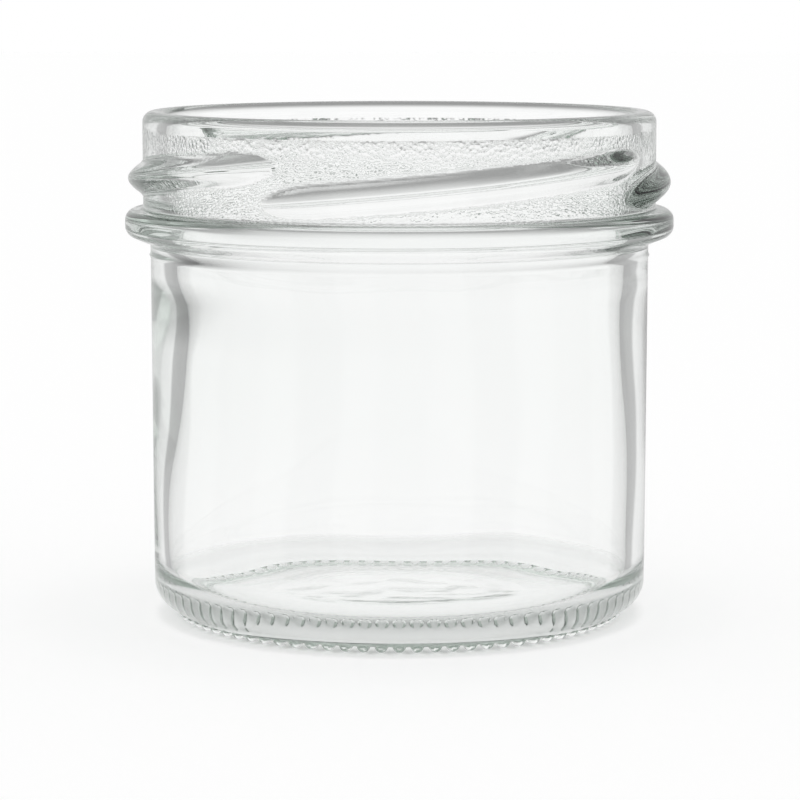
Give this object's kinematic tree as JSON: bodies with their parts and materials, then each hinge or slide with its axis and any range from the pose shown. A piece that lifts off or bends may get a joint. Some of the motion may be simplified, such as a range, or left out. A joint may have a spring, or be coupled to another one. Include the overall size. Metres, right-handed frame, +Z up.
{
  "type": "tapered glass jar",
  "caption": "Empty clear glass food jar: slightly tapered wall, raised thread lugs for a twist-off lid, a bead below them, a chamfered heel and a knurled foot ring.",
  "frame": {"origin": "on the jar's axis, on the surface that it stands on", "axes": "+Z up the jar's axis, from the foot to the mouth; +X and +Y are level, and the side seen first faces -Y"},
  "size_m": [0.0668, 0.0668, 0.0617],
  "materials": {
    "glass": "clear soda-lime glass, smooth, with a slight grain on the finish between the lugs"
  },
  "bodies": {
    "root": {"jar": "glass"}
  },
  "joints": []
}
